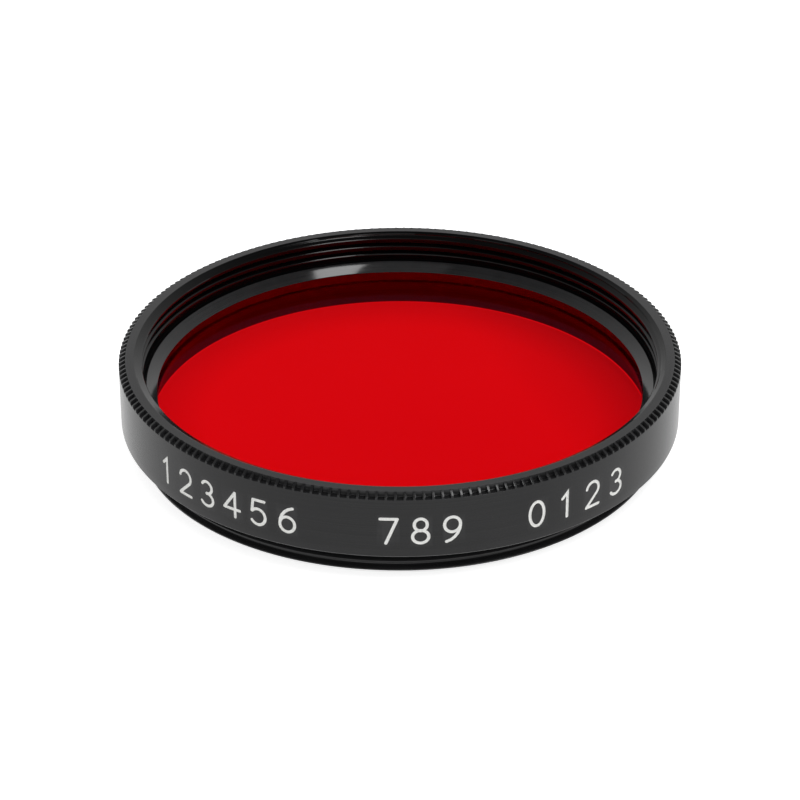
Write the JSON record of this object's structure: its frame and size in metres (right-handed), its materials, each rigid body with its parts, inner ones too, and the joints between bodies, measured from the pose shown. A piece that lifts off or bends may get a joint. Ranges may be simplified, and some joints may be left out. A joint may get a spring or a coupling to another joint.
{
  "type": "colour lens filter",
  "caption": "Screw-in colour filter for a camera lens: a knurled black ring with a female front thread and a male rear thread holds a flat red glass disc under a thin retaining ring.",
  "frame": {"origin": "centre of the rear thread's end face, on the optical axis, which is the bottom centre of the filter as it stands", "axes": "+Z along the optical axis, from the rear male thread to the front rim; +X and +Y are free, the part is round"},
  "size_m": [0.046, 0.046, 0.008],
  "materials": {
    "ring_anodised": "black anodised, satin",
    "red_glass": "polished, deep red",
    "retainer_anodised": "black anodised, satin"
  },
  "bodies": {
    "root": {"filter_ring": "ring_anodised", "filter_glass": "red_glass", "retaining_ring": "retainer_anodised"}
  },
  "joints": []
}
